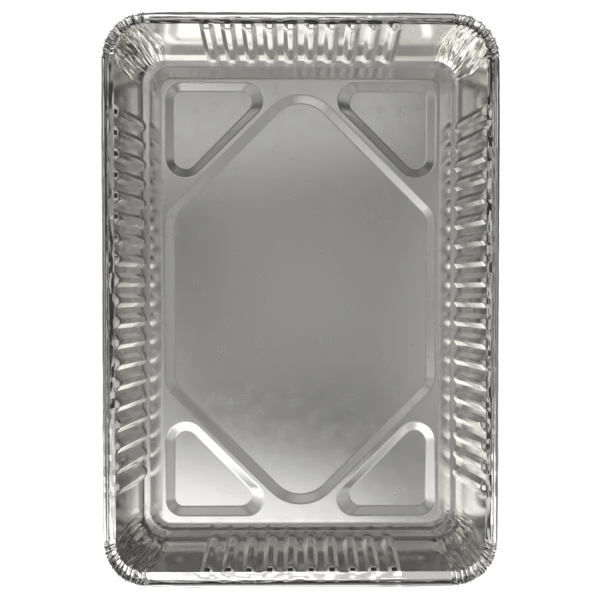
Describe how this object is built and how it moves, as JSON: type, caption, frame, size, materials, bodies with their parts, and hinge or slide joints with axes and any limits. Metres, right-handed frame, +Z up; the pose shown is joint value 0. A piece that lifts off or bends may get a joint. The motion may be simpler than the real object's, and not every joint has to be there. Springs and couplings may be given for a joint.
{
  "type": "foil roasting pan",
  "caption": "Shallow rectangular foil pan with fluted walls, gathered corners, a flat shelf, a rolled edge and an embossed floor.",
  "frame": {"origin": "under the middle of the floor, on the plane that the pan stands on", "axes": "+Z up out of the pan, +Y along its long side, +X across it"},
  "size_m": [0.215, 0.311, 0.0318],
  "materials": {
    "foil": "bright rolled foil, satin on the floor and mirror-like on the walls and edge"
  },
  "bodies": {
    "root": {"pan": "foil"}
  },
  "joints": []
}
